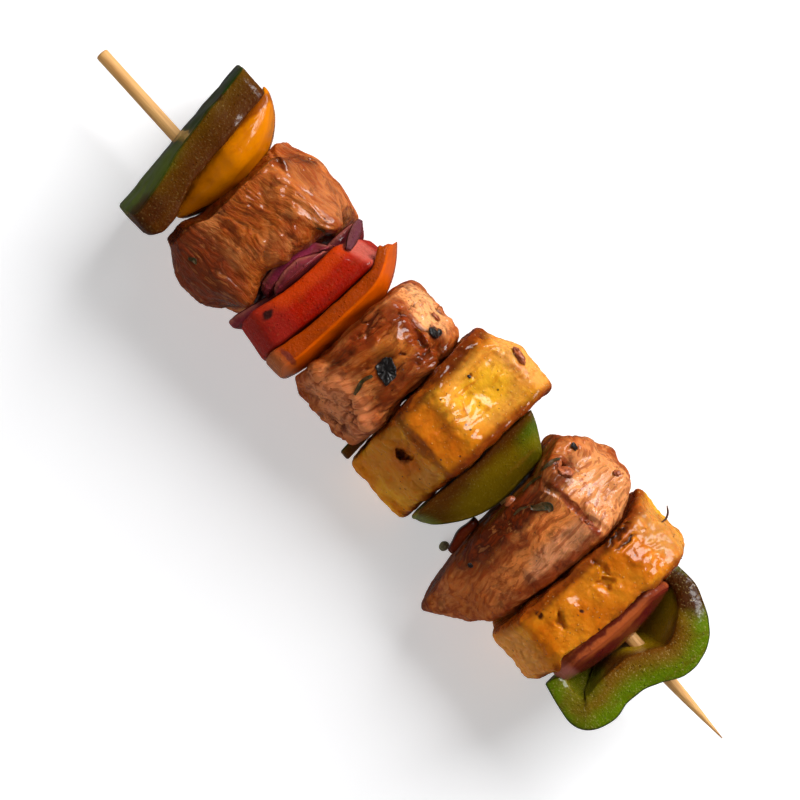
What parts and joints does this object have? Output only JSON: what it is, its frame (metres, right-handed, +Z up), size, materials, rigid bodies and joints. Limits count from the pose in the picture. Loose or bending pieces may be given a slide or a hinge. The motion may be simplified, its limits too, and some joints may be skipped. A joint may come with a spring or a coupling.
{
  "type": "chicken kebab skewer",
  "caption": "Grilled kebab on a pointed bamboo stick: chicken chunks and pineapple blocks between curved pieces of bell pepper and red onion.",
  "frame": {"origin": "on the table, under the middle of the bounding box", "axes": "+X along the stick towards its point, +Z up, +Y towards the side that the pieces lean their upper ridges to"},
  "size_m": [0.2, 0.0544, 0.0366],
  "materials": {
    "bamboo": "dry split bamboo with a fine lengthwise grain",
    "chicken": "grilled and glazed meat, browned along its fibres",
    "green_pepper": "grilled pepper, smooth dark skin and moist cut flesh",
    "yellow_pepper": "glossy pepper skin",
    "red_pepper": "moist cut pepper flesh",
    "orange_pepper": "glossy pepper skin and moist flesh",
    "onion": "cooked red onion, glossy and darkened",
    "pineapple": "grilled pineapple, wet and fibrous, browned at its edges"
  },
  "bodies": {
    "root": {"skewer": "bamboo", "green_pepper_a": "green_pepper", "yellow_pepper": "yellow_pepper", "chicken_a": "chicken", "onion_a_outer": "onion", "onion_a_middle": "onion", "onion_a_inner": "onion", "red_pepper": "red_pepper", "orange_pepper": "orange_pepper", "chicken_b": "chicken", "green_pepper_b": "green_pepper", "pineapple_a": "pineapple", "green_pepper_c": "green_pepper", "red_pepper_scrap": "red_pepper", "chicken_c": "chicken", "pineapple_b": "pineapple", "onion_b": "onion", "green_pepper_d": "green_pepper"}
  },
  "joints": []
}
